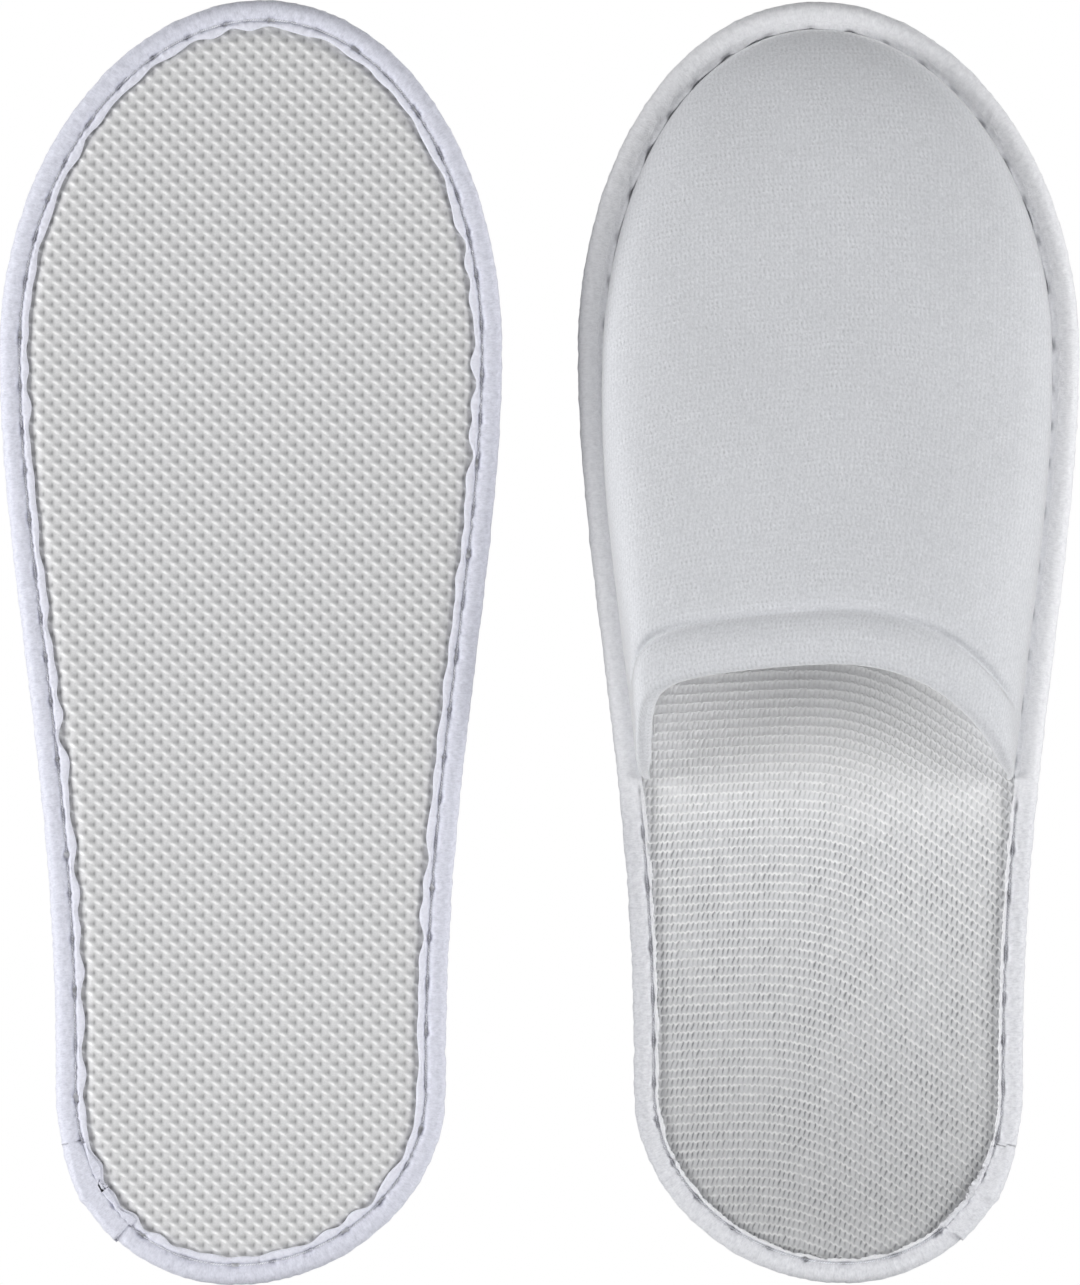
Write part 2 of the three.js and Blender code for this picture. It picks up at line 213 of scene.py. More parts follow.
def makePiece(name, points, faces, uv, corners, material, marks=None):
    # splits quads, merges points in one place, drops what has no area, turns it outwards
    triangles = np.concatenate([faces[:, [0, 1, 2]], faces[:, [0, 2, 3]]])
    uvFaces = np.concatenate([corners[:, [0, 1, 2]], corners[:, [0, 2, 3]]])
    keys = np.round(points * 1e6).astype(np.int64)
    _, first, inverse = np.unique(keys, axis=0, return_index=True, return_inverse=True)
    points, triangles = points[first], inverse.reshape(-1)[triangles]
    a, b, c = triangles.T
    keep = (a != b) & (b != c) & (c != a)
    triangles, uvFaces = triangles[keep], uvFaces[keep]
    a, b, c = (points[triangles[:, i]] for i in range(3))
    if np.einsum("ij,ij->i", a, np.cross(b, c)).sum() < 0:
        triangles, uvFaces = triangles[:, ::-1], uvFaces[:, ::-1]
    mesh = bpy.data.meshes.new(name)
    mesh.vertices.add(len(points))
    mesh.vertices.foreach_set("co", points.ravel())
    mesh.loops.add(triangles.size)
    mesh.loops.foreach_set("vertex_index", triangles.ravel().astype(np.int32))
    mesh.polygons.add(len(triangles))
    mesh.polygons.foreach_set("loop_start", np.arange(0, triangles.size, 3, dtype=np.int32))
    layer = mesh.uv_layers.new(name="UVMap")
    mesh.update(calc_edges=True)
    layer.data.foreach_set("uv", uv[uvFaces.ravel()].ravel().astype(np.float32))
    mesh.polygons.foreach_set("use_smooth", np.ones(len(triangles), dtype=bool))
    mesh.update()
    for mark, values in (marks or {}).items():
        kind, field = ("FLOAT", "value") if values.ndim == 1 else ("FLOAT_VECTOR", "vector")
        attribute = mesh.attributes.new(mark, kind, "POINT")
        attribute.data.foreach_set(field, values[first].astype(np.float32).ravel())
    mesh.validate()
    piece = addObject(name, mesh)
    mesh.materials.append(material)
    print(f"{name}: {len(triangles)} triangles")
    return piece


def sheetBody(outer, inner):
    # a closed body between two grids of one shape: both faces and the four edges
    rows, columns = outer.shape[:2]
    points = np.concatenate([outer.reshape(-1, 3), inner.reshape(-1, 3)])
    face, corner = gridFaces(rows, columns)
    shift = rows * columns
    index = np.arange(shift).reshape(rows, columns)
    border = np.concatenate([index[0], index[1:, -1], index[-1, -2::-1], index[-2:0:-1, 0]])
    after = np.roll(border, -1)
    walls = np.stack([after, border, border + shift, after + shift], axis=1)
    faces = np.concatenate([face, face[:, ::-1] + shift, walls])
    return points, faces


def newMaterial(name, roughness, sheen, sheenTint):
    # the material, its tree, and calc() bound to that tree
    material = bpy.data.materials.new(name)
    material.use_nodes = True
    shader = material.node_tree.nodes["Principled BSDF"]
    setInputs(shader, {
        "Roughness": roughness, "Specular IOR Level": 0.25, "Sheen Weight": sheen,
        "Sheen Roughness": 0.45, "Sheen Tint": (*sheenTint, 1)})
    return material, material.node_tree, partial(calc, material.node_tree)


def calc(tree, operation, *values, clamp=False):
    # one Math node; values are sockets or numbers
    node = tree.nodes.new("ShaderNodeMath")
    node.operation = operation
    node.use_clamp = clamp
    for socket, value in zip(node.inputs, values):
        if isinstance(value, (int, float)):
            socket.default_value = value
        else:
            tree.links.new(value, socket)
    return node.outputs[0]


def mapped(tree, vector, scale, turn=0.0):
    # a vector scaled, then turned
    node = tree.nodes.new("ShaderNodeMapping")
    setInputs(node, {"Scale": scale, "Rotation": (0, 0, turn)})
    tree.links.new(vector, node.inputs["Vector"])
    return node.outputs["Vector"]


def uvSteps(tree, size):
    # the piece's UVs stretched to millimetres
    uv = tree.nodes.new("ShaderNodeUVMap")
    uv.uv_map = "UVMap"
    return mapped(tree, uv.outputs["UV"], (*size, 1))


def noise(tree, vector, scale, detail=3.0, roughness=0.55, stretch=(1, 1, 1), turn=0.0):
    node = tree.nodes.new("ShaderNodeTexNoise")
    setInputs(node, {"Scale": scale, "Detail": detail, "Roughness": roughness})
    tree.links.new(mapped(tree, vector, stretch, turn), node.inputs["Vector"])
    return node.outputs["Fac"]


def ramp(tree, value, stops):
    # colour by value: stops are (position, colour)
    node = tree.nodes.new("ShaderNodeValToRGB")
    while len(node.color_ramp.elements) < len(stops):
        node.color_ramp.elements.new(0.5)
    for element, (position, colour) in zip(node.color_ramp.elements, stops):
        element.position = position
        element.color = (*colour, 1)
    tree.links.new(value, node.inputs["Fac"])
    return node.outputs["Color"]


def mixColour(tree, factor, first, second, blend="MIX"):
    node = tree.nodes.new("ShaderNodeMix")
    node.data_type = "RGBA"
    node.blend_type = blend
    for socket, value in ((node.inputs[0], factor), (node.inputs[6], first), (node.inputs[7], second)):
        if isinstance(value, (int, float)):
            socket.default_value = value
        elif isinstance(value, tuple):
            socket.default_value = (*value, 1)
        else:
            tree.links.new(value, socket)
    return node.outputs[2]


def finishMaterial(material, colour, rough, height, strength, distance):
    # the colour and roughness go straight to the shader, the height through a bump
    tree = material.node_tree
    shader = tree.nodes["Principled BSDF"]
    node = tree.nodes.new("ShaderNodeBump")
    setInputs(node, {"Strength": strength, "Distance": distance})
    tree.links.new(height, node.inputs["Height"])
    tree.links.new(node.outputs["Normal"], shader.inputs["Normal"])
    tree.links.new(colour, shader.inputs["Base Color"])
    if rough:
        tree.links.new(rough, shader.inputs["Roughness"])
    return material


def split(tree, vector):
    node = tree.nodes.new("ShaderNodeSeparateXYZ")
    tree.links.new(vector, node.inputs["Vector"])
    return node.outputs


def wave(tree, value):
    # 0 to 1 cosine wave, one per unit of value
    turned = calc(tree, "COSINE", calc(tree, "MULTIPLY", value, 2 * math.pi))
    return calc(tree, "MULTIPLY_ADD", turned, 0.5, 0.5)


# Felt of the edge tape: soft lumps and short fibres in white
felt = {
    "low": (0.62, 0.625, 0.67),
    "middle": (0.75, 0.755, 0.80),
    "high": (0.88, 0.885, 0.93),
    "edge": (0.985, 0.985, 1.0),  # the lip beyond the seam, whiter than the roll
    "shade": (0.16, 0.16, 0.18),  # painted shade down in the seam
    "lump": 0.8,  # waves per millimetre
    "fibre": 2.6,
    "upright": (1.0, 1.0, 0.985),  # painted light and shade: each slipper gets its own copy of the felt, the turned one darker and bluer, for the light each gets
    "turned": (0.93, 0.935, 0.99),
}


def feltMaterial(name, size, tint):
    material, tree, do = newMaterial(name, 0.9, 0.35, (0.95, 0.95, 1.0))
    # lumps and fibres added set the tone; the seam is darker with painted shade and the lip beyond it
    # whiter
    parts = ("low", "middle", "high", "edge", "shade")
    # painted shade: the turned slipper's felt is a darker, bluer copy of the same felt
    tone = {part: tuple(np.multiply(felt[part], tint)) for part in parts}
    vector = uvSteps(tree, size)
    lumps = noise(tree, vector, felt["lump"], 3, 0.6)
    fibres = noise(tree, vector, felt["fibre"], 4, 0.7, (1, 0.35, 1), 0.5)
    both = do("MULTIPLY_ADD", fibres, 0.55, do("MULTIPLY", lumps, 0.5))
    colour = ramp(tree, both, [(0.36, tone["low"]), (0.52, tone["middle"]), (0.70, tone["high"])])
    for mark, amount, shade in (("lip", 0.35, tone["edge"]), ("stitchShade", 0.8, tone["shade"])):
        node = tree.nodes.new("ShaderNodeAttribute")
        node.attribute_name = mark
        colour = mixColour(tree, do("MULTIPLY", node.outputs["Fac"], amount), colour, shade)
    rough = do("MULTIPLY_ADD", fibres, 0.2, 0.75)
    return finishMaterial(material, colour, rough, both, 0.55, 0.00035)


# Embossed foam of the outsole: a staggered lattice of small three-sided pits
lattice = {
    "pitchX": 3.72,
    "pitchY": 3.66,
    "base": (0.63, 0.63, 0.635),
    # the pit colour is painted shade and the ridge colour is painted highlight
    "pitShade": (0.33, 0.33, 0.335),
    "slopeHighlight": (0.98, 0.98, 0.985),
    "speck": (0.12, 0.12, 0.11),
    "relief": 0.16,  # depth of the pits in the mesh
    # the pits and the slashes: centre and size in pitches, turn, and share of the relief
    "spots": [
        ((-0.12, -0.05), (0.22, 0.17), 0.2, -1.0),
        ((-0.28, -0.29), (0.24, 0.12), -0.52, 0.45),
    ],
}
plan = 300.0  # millimetres across the UV square of a sole layer


def outsoleMaterial():
    material, tree, do = newMaterial("embossedFoam", 0.7, 0.0, (1, 1, 1))
    vector = uvSteps(tree, (plan, plan))
    # soft elliptical spots repeated on two lattices, half a pitch apart both ways
    wobble = noise(tree, vector, 0.35, 2)
    x, y, _ = split(tree, vector)
    wobbly = do("MULTIPLY_ADD", wobble, 0.35, -0.17)
    across = do("DIVIDE", do("ADD", x, wobbly), lattice["pitchX"])
    upward = do("DIVIDE", do("ADD", y, wobbly), lattice["pitchY"])

    def spot(centre, size, turn, shift):
        # a soft elliptical spot of one lattice: 1 in its middle, 0 outside
        start = shift + 0.5
        u = do("SUBTRACT", do("FRACT", do("ADD", across, start - centre[0])), 0.5)
        v = do("SUBTRACT", do("FRACT", do("ADD", upward, start - centre[1])), 0.5)
        wide, tall = size
        c, s = math.cos(turn), math.sin(turn)
        p = do("ADD", do("MULTIPLY", u, c / wide), do("MULTIPLY", v, s / wide))
        q = do("SUBTRACT", do("MULTIPLY", v, c / tall), do("MULTIPLY", u, s / tall))
        reach = do("ADD", do("MULTIPLY", p, p), do("MULTIPLY", q, q))
        return do("EXPONENT", do("MULTIPLY", reach, -1.0))

    def both(centre, size, turn):
        return do("ADD", spot(centre, size, turn, 0.0), spot(centre, size, turn, 0.5))

    # painted shade and light: the dark dot and patch are painted shade on each pit's shaded wall, the
    # slash and bar are painted highlight on the slopes that face the light; the same spots also shape
    # the bump
    dot = both((0.0, -0.02), (0.07, 0.15), 0.0)
    patch = both((-0.16, -0.05), (0.22, 0.16), -0.35)
    slash = both((-0.29, -0.28), (0.25, 0.085), -0.55)
    bar = both((0.24, -0.10), (0.12, 0.26), 0.0)
    grit = noise(tree, vector, 2.6, 3, 0.6)
    dark = do("MULTIPLY_ADD", dot, 0.7, do("MULTIPLY", patch, 0.6), clamp=True)
    light = do("MULTIPLY_ADD", slash, 0.95, do("MULTIPLY", bar, 0.22), clamp=True)
    colour = mixColour(tree, dark, lattice["base"], lattice["pitShade"])
    colour = mixColour(tree, light, colour, lattice["slopeHighlight"])
    mottled = do("MULTIPLY_ADD", grit, 0.34, 0.83)
    tint = tree.nodes.new("ShaderNodeCombineColor")
    for socket in tint.inputs:
        tree.links.new(mottled, socket)
    colour = mixColour(tree, 1.0, colour, tint.outputs[0], "MULTIPLY")
    speck = tree.nodes.new("ShaderNodeTexVoronoi")
    setInputs(speck, {"Scale": 0.055})
    tree.links.new(vector, speck.inputs["Vector"])
    isSpeck = do("LESS_THAN", speck.outputs["Distance"], 0.017)
    colour = mixColour(tree, do("MULTIPLY", isSpeck, 0.55), colour, lattice["speck"])
    height = do("SUBTRACT", do("MULTIPLY", light, 0.6), dark)
    height = do("ADD", height, do("MULTIPLY", grit, 0.25))
    rough = do("MULTIPLY_ADD", grit, 0.3, 0.5)
    return finishMaterial(material, colour, rough, height, 0.35, 0.0002)


# Knit of the insole: chains of white loops with slanting gaps under them, the gaps painted dark as shade
knit = {
    "row": 2.03,
    "column": 1.13,
    "gap": (0.31, 0.315, 0.325),
    "yarn": (0.75, 0.755, 0.77),
    "chain": (1.0, 1.0, 1.0),
    "mouthLight": 0.85,  # painted light: share of the way to white under the upper and in the mouth, where the hem's shade falls
    "heelShade": 0.32,  # painted shade: share of its brightness lost from the mouth to the heel end
}


def insoleMaterial():
    material, tree, do = newMaterial("insoleKnit", 0.85, 0.15, (1, 1, 1))
    # the power of one wave per row is the chain, slanting waves per stitch are the gaps
    node = tree.nodes.new("ShaderNodeAttribute")
    node.attribute_name = "courses"
    vector = node.outputs["Vector"]
    fine = noise(tree, vector, 0.9, 3, 0.6)
    coarse = noise(tree, vector, 0.16, 2)
    x, y, along = split(tree, vector)
    jitter = do("MULTIPLY_ADD", fine, 0.9, -0.45)
    column = do("ADD", x, do("MULTIPLY", jitter, 1.1))
    row = do("MULTIPLY_ADD", jitter, 0.55, y)
    row = do("MULTIPLY_ADD", wave(tree, column), 0.13, row)
    within = do("FRACT", row)
    chain = do("POWER", wave(tree, row), 5.0)
    slanted = wave(tree, do("MULTIPLY_ADD", within, -0.45, column))
    below = do("POWER", wave(tree, do("ADD", row, 0.30)), 0.9)
    under = do("MULTIPLY", do("POWER", slanted, 4.0), below)
    faint = do("MULTIPLY", do("POWER", slanted, 1.5), 0.35)
    faint = do("MULTIPLY", faint, do("SUBTRACT", 1.0, chain))
    gaps = do("ADD", under, faint, clamp=True)
    uneven = noise(tree, vector, 0.55, 2, 0.5, (1, 0.6, 1))
    strength = do("ADD", do("ADD", coarse, -0.55), do("MULTIPLY", uneven, 1.6), clamp=True)
    # painted shade: the slanting gaps between the loops, darkest just under each chain
    colour = mixColour(tree, do("MULTIPLY", gaps, strength), knit["yarn"], knit["gap"])
    whiter = do("MULTIPLY", chain, do("MULTIPLY_ADD", fine, 2.6, -0.45), clamp=True)
    colour = mixColour(tree, whiter, colour, knit["chain"])
    # painted shade: the knit is darkened towards the heel end for the light falling off there
    shadeTowardsHeel = do("MULTIPLY_ADD", along, -1.05, -0.32, clamp=True)
    colour = mixColour(tree, do("MULTIPLY", shadeTowardsHeel, knit["heelShade"]), colour, (0.0, 0.0, 0.0))
    # painted light: the knit under the upper and in the mouth is whitened to stand in for light the hem
    # shades off it
    near = do("MULTIPLY_ADD", along, 3.03, 1.364, clamp=True)
    colour = mixColour(tree, do("MULTIPLY", near, knit["mouthLight"]), colour, knit["chain"])
    height = do("SUBTRACT", chain, do("MULTIPLY", gaps, 0.8))
    rough = do("MULTIPLY_ADD", gaps, 0.1, 0.8)
    return finishMaterial(material, colour, rough, height, 0.5, 0.00025)


# Brushed knit of the upper: fuzz over faint wales that run along the slipper
brushed = {
    "low": (0.53, 0.54, 0.565),
    "high": (0.80, 0.81, 0.84),
    "speck": (0.36, 0.365, 0.385),  # open stitches near the sewn edges
    "wale": 1.05,  # millimetres between wales
    "course": 0.9,
    "opening": 1.25,  # between open stitches along the cloth
}


def coverMaterial(name, fuzz):
    material, tree, do = newMaterial(name, 0.9, 1.0, (1, 1, 1))
    # fuzz in space, under it waves across the cloth for wales and along it for courses,
    # and small open stitches near its sewn edges
    coordinates = tree.nodes.new("ShaderNodeTexCoord")
    vector = mapped(tree, coordinates.outputs["Object"], (1000, 1000, 1000))
    flat = uvSteps(tree, (150, 200))
    x, y, _ = split(tree, flat)
    cloud = noise(tree, vector, 0.25, 3)
    pile = noise(tree, vector, 1.6, 4, 0.7)
    hair = noise(tree, vector, 3.4, 3, 0.7, (1, 0.4, 1), 0.3)
    wobble = do("MULTIPLY_ADD", pile, 1.6, -0.8)
    wales = wave(tree, do("DIVIDE", do("ADD", x, wobble), brushed["wale"]))
    courses = wave(tree, do("DIVIDE", do("ADD", y, wobble), brushed["course"]))
    ribs = do("MULTIPLY_ADD", courses, 0.25, wales)
    ribs = do("MULTIPLY", ribs, do("MULTIPLY_ADD", cloud, 0.5, -0.08))
    both = do("ADD", do("MULTIPLY", pile, 0.45), do("MULTIPLY", hair, 0.35))
    both = do("ADD", both, do("MULTIPLY", ribs, 0.35))
    colour = ramp(tree, both, [(0.28, brushed["low"]), (0.62, brushed["high"])])
    nearSide = do("MULTIPLY_ADD", do("ABSOLUTE", x), 0.07, -2.9, clamp=True)
    nearToe = do("MULTIPLY_ADD", y, -0.05, 1.9, clamp=True)
    near = do("MAXIMUM", nearSide, nearToe)
    slanted = do("DIVIDE", do("MULTIPLY_ADD", y, 0.35, x), brushed["wale"])
    opened = do("POWER", wave(tree, slanted), 3.0)
    gap = wave(tree, do("DIVIDE", do("ADD", y, wobble), brushed["opening"]))
    opened = do("MULTIPLY", opened, do("POWER", gap, 2.0))
    patchy = do("MULTIPLY", near, do("MULTIPLY_ADD", cloud, 2.2, -0.75, clamp=True))
    opened = do("MULTIPLY", opened, patchy)
    colour = mixColour(tree, do("MULTIPLY", opened, 0.75), colour, brushed["speck"])
    rough = do("MULTIPLY_ADD", pile, 0.2, 0.75)
    return finishMaterial(material, colour, rough, both, fuzz, 0.0003)


def foamMaterial():
    material, tree, _ = newMaterial("openFoam", 0.95, 0.0, (1, 1, 1))
    # tone by distance to the middle of the nearest cell
    vector = uvSteps(tree, (plan, plan))
    cells = tree.nodes.new("ShaderNodeTexVoronoi")
    setInputs(cells, {"Scale": 2.2})
    tree.links.new(vector, cells.inputs["Vector"])
    stops = [(0.1, (0.62, 0.61, 0.59)), (0.6, (0.83, 0.825, 0.80))]
    colour = ramp(tree, cells.outputs["Distance"], stops)
    return finishMaterial(material, colour, None, cells.outputs["Distance"], 0.5, 0.0003)


def threadMaterial():
    material, tree, do = newMaterial("sewingThread", 0.6, 0.2, (1, 1, 1))
    # two plies: a wave that slants along and round the thread
    vector = uvSteps(tree, (700, 2))
    x, y, _ = split(tree, vector)
    twist = wave(tree, do("MULTIPLY_ADD", x, 1.6, y))
    colour = ramp(tree, twist, [(0.1, (0.62, 0.63, 0.68)), (0.8, (0.90, 0.91, 0.95))])
    return finishMaterial(material, colour, None, twist, 0.5, 0.0001)


# The camera looks straight down from far off and takes in "tall" metres at the height it aims at
cameraSetting = {
    "lens": 600.0,
    "sensor": 36.0,
    "tall": 0.28544,
    "aimHeight": 0.010,
    "clip": (0.1, 20),
}
camera = bpy.data.cameras.new("camera")
camera.lens = cameraSetting["lens"]
camera.sensor_width = cameraSetting["sensor"]
camera.sensor_fit = "AUTO"
camera.clip_start, camera.clip_end = cameraSetting["clip"]
cameraPiece = addObject("camera", camera)
away = cameraSetting["tall"] * cameraSetting["lens"] / cameraSetting["sensor"]
cameraPiece.location = (0, 0, cameraSetting["aimHeight"] + away)
bpy.context.scene.camera = cameraPiece
bpy.context.scene.view_settings.view_transform = "Standard"

# Square panels aimed at the pair: metres, and watts
lights = {
    "leftPanel": {"at": (-1.15, 0.03, 0.46), "size": 0.7, "power": 14.8},
    "rightPanel": {"at": (1.15, 0.06, 0.42), "size": 0.7, "power": 11.8},
    "toePanel": {"at": (0.15, 1.25, 0.60), "size": 0.9, "power": 1.0},
    "heelPanel": {"at": (0.0, -0.95, 0.72), "size": 0.7, "power": 4.4},
    "topPanel": {"at": (0.01, -0.02, 0.32), "size": 0.2, "power": 0.05},
}
for name, setting in lights.items():
    light = bpy.data.lights.new(name, "AREA")
    light.size = setting["size"]
    light.energy = setting["power"]
    lamp = addObject(name, light)
    lamp.location = setting["at"]
    direction = np.array([0, 0, 0.01]) - np.array(setting["at"])
    tilt = math.acos(-direction[2] / np.linalg.norm(direction))
    turn = math.atan2(direction[1], direction[0]) - math.pi / 2
    lamp.rotation_euler = (tilt, 0, turn)
    lamp.visible_camera = False

world = bpy.data.worlds.new("softRoom")
world.use_nodes = True
sky = {"Color": (0.97, 0.98, 1.0, 1), "Strength": 0.15}
setInputs(world.node_tree.nodes["Background"], sky)
bpy.context.scene.world = world

floorMesh = bpy.data.meshes.new("floor")
floorSize = {"reach": 4, "level": -0.0006}
ring = [(-1, -1), (1, -1), (1, 1), (-1, 1)]
reach, level = floorSize["reach"], floorSize["level"]
floorMesh.from_pydata([(reach * x, reach * y, level) for x, y in ring], [], [(0, 1, 2, 3)])
floor = addObject("floor", floorMesh)
floorMaterial = bpy.data.materials.new("paleFloor")
floorMaterial.use_nodes = True
setInputs(floorMaterial.node_tree.nodes["Principled BSDF"], {
    "Base Color": (0.0, 0.0, 0.0, 1), "Roughness": 1.0, "Specular IOR Level": 0.0,
    "Emission Color": (1, 1, 1, 1), "Emission Strength": 1.0})
floorMesh.materials.append(floorMaterial)
floor.visible_diffuse = False  # it shows white but throws no light up the sides
print("camera, lights and floor are in")


def finishPiece(piece, nodes, body=None):
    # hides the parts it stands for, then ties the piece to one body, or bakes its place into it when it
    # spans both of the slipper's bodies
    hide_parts(*nodes)
    if body:
        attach(piece, body)
        return
    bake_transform(piece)


def bothEnds(name, part):
    return [f"{name}_{part}_forepart", f"{name}_{part}_heel"]


def soleLayer(name, material, slipper, xs, ys, inset, topOf, backLevel, flip=False, markOf=None):
    # rows across the sole, each a ring: columns over the worked face, two corners behind it
    y = np.unique(np.concatenate([ys, endRows(inset)]))[:, None]
    width = halfWidth(y, inset)
    x = centreX(y) + np.clip(xs[None, :], -width, width)
    face = np.stack([x, np.broadcast_to(y, x.shape), topOf(x, y, insetOf(x, y + 0 * x))], axis=-1)
    edges = np.concatenate([centreX(y) + width, centreX(y) - width], axis=1)
    back = np.stack([edges, np.broadcast_to(y, edges.shape), np.full(edges.shape, backLevel)], axis=-1)
    rings = np.concatenate([face, back], axis=1)
    faces, corners = gridFaces(rings.shape[0], rings.shape[1], wrapColumns=True)
    uvRing = np.concatenate([rings, rings[:, :1]], axis=1)
    sign = -1 if flip else 1
    uv = np.stack([sign * uvRing[..., 0] / plan + 0.5, uvRing[..., 1] / plan + 0.5], axis=-1)
    flat = rings.reshape(-1, 3)
    marks = markOf(flat[:, 0], flat[:, 1]) if markOf else None
    return makePiece(name, place(flat, slipper), faces, uv.reshape(-1, 2), corners, material, marks)


def endRows(inset):
    # extra rows close to the tips, where the outline turns fastest
    steps = np.array([0, 0.01, 0.04, 0.09, 0.16, 0.25, 0.36, 0.49, 0.7])
    tip = tipY - inset
    return np.concatenate([tip - steps, steps - tip])


def latticeRelief(x, y):
    # pits below and low slashes above a flat field, on two lattices half a pitch apart
    total = 0
    for shift in (0.0, 0.5):
        for centre, size, turn, depth in lattice["spots"]:
            u = (-x / lattice["pitchX"] + shift - centre[0] + 0.5) % 1 - 0.5
            v = (y / lattice["pitchY"] + shift - centre[1] + 0.5) % 1 - 0.5
            p = (u * math.cos(turn) + v * math.sin(turn)) / size[0]
            q = (v * math.cos(turn) - u * math.sin(turn)) / size[1]
            total = total + depth * np.exp(-p * p - q * q)
    return total


outsoleShape = {
    "inset": 1.1,  # from the outline of the slipper to the layer's own edge
    "columnStep": 0.62,
    "rowStep": 0.61,
    "rim": 1.3,  # lift of the stitched rim
    "ground": 0.12,
    "highest": 0.4,  # share of the relief that the slashes may stand up by
    "back": 3.0,
}


def outsoleFace(x, y, inset):
    # the ground face: lifted rim, then a flat field with the lattice pressed in
    rim = outsoleShape["rim"] * (1 - smooth(inset, 6.0, 9.0))
    ground = outsoleShape["ground"]
    relief = lattice["relief"] * np.minimum(outsoleShape["highest"], latticeRelief(x, y))
    return rim + ground - smooth(inset, 6.5, 8.5) * (ground + relief)


def makeOutsole(name, slipper, material):
    xs = np.arange(-57.04, 57.05, outsoleShape["columnStep"])
    ys = np.arange(-141.2, 141.2, outsoleShape["rowStep"])
    piece = soleLayer(f"{name}_outsole", material, slipper, xs, ys, outsoleShape["inset"],
                      outsoleFace, outsoleShape["back"], flip=True)
    finishPiece(piece, bothEnds(name, "outsole"))


innerInset = 1.3  # of the midsole and the insole
midsoleShape = {"top": 4.58, "bottom": 3.12, "edgeDrop": 0.2}


def midsoleFace(x, y, inset):
    return midsoleShape["top"] - midsoleShape["edgeDrop"] * (1 - smooth(inset, 0, 2))


def makeMidsole(name, slipper, material):
    xs = np.linspace(-55, 55, 45)
    ys = np.arange(-140, 140, 2.5)
    piece = soleLayer(f"{name}_midsole", material, slipper, xs, ys, innerInset,
                      midsoleFace, midsoleShape["bottom"])
    finishPiece(piece, bothEnds(name, "midsole_foam"))


insoleShape = {
    "bottom": 4.72,
    "pad": 5.55,
    "edgeDrop": 0.75,
    "middleRise": 0.25,
    "relief": 0.13,
    "slope": 0.68,  # fall of the rows to the right of their ridge
    "soft": 6.0,
    "rise": 0.06,
    "ridgeAt": ([-135, -102, -84, -58, -10], [-7.0, -5.0, -3.0, 1.0, 8.5]),  # y, x
}


def courseLift(x, y):
    # rows of the knit run level, climb gently to a ridge and fall away to its right
    past = x - np.interp(y, *insoleShape["ridgeAt"])
    fall = insoleShape["slope"] * insoleShape["soft"] * np.logaddexp(0, past / insoleShape["soft"])
    return fall - insoleShape["rise"] * (x + 45)


def insoleFace(x, y, inset):
    # a flat pad eased down at its edge, ribbed by the rows of the knit
    rows = np.cos(2 * math.pi * (y + courseLift(x, y)) / knit["row"])
    visible = smooth(-y, -14, -4)
    pad = insoleShape["pad"] - insoleShape["edgeDrop"] * (1 - smooth(inset, 3.5, 9.5))
    pad = pad + insoleShape["middleRise"] * smooth(inset, 8, 26)
    return pad + visible * insoleShape["relief"] * 0.5 * (rows - 1)


def courseMarks(x, y):
    # stitches across, rows along, and plain distance along
    row = (y + courseLift(x, y)) / knit["row"]
    return {"courses": np.stack([x / knit["column"], row, y / 100], axis=1)}


def makeInsole(name, slipper, material):
    xs = np.arange(-56, 56.1, 0.85)
    ys = np.concatenate([np.arange(-141, 12, 0.42), np.arange(12, 141, 3.0)])
    piece = soleLayer(f"{name}_insole", material, slipper, xs, ys, innerInset,
                      insoleFace, insoleShape["bottom"], markOf=courseMarks)
    finishPiece(piece, bothEnds(name, "insole"))


stitches = {
    "count": 64,
    "inset": 4.45,  # of the seam from the edge
    "thread": 0.2,  # radius
    "under": 11,  # seeds of the unevenness of the two rows
    "top": 23,
}
tapeShape = {
    "stations": 1024,
    "steps": 4,  # points between two of the section's corners
    "edgeWave": 0.28,
    "lump": 0.055,
    "pucker": 0.16,
}


def aheadShare(y):
    # 0 where the tape is stitched beside the insole, 1 where it runs round the upper
    return smooth(y, throatEnd - 14, throatEnd + 4)


def tapeTop(y):
    # a step up where the tape takes in the upper's edge
    ahead = smooth(y, throatEnd - 12, throatEnd - 1)
    return levels["tapeTopBack"] + (levels["tapeTopFront"] - levels["tapeTopBack"]) * ahead


def stitchPinch(share, seed):
    # 1 where a stitch pulls the tape in, 0 between stitches, with uneven spacing and pull
    drift = 0.10 * loopNoise(share, seed, 5, 17)
    pull = 0.78 + 0.2 * loopNoise(share, seed + 1, 20, 40)
    return np.clip(np.cos(2 * math.pi * (share * stitches["count"] + drift)), 0, 1) ** 2.5 * pull


def splineSteps(corners, steps):
    # weights of a closed Catmull-Rom curve through the corners
    t = np.arange(steps) / steps
    weights = np.stack([
        (-t + 2 * t**2 - t**3) / 2, (2 - 5 * t**2 + 3 * t**3) / 2,
        (t + 4 * t**2 - 3 * t**3) / 2, (-(t**2) + t**3) / 2], axis=1)
    table = np.zeros((corners * steps, corners))
    rows = np.arange(corners * steps)
    for turn in range(4):
        table[rows, (rows // steps + turn - 1) % corners] += np.tile(weights[:, turn], corners)
    return table


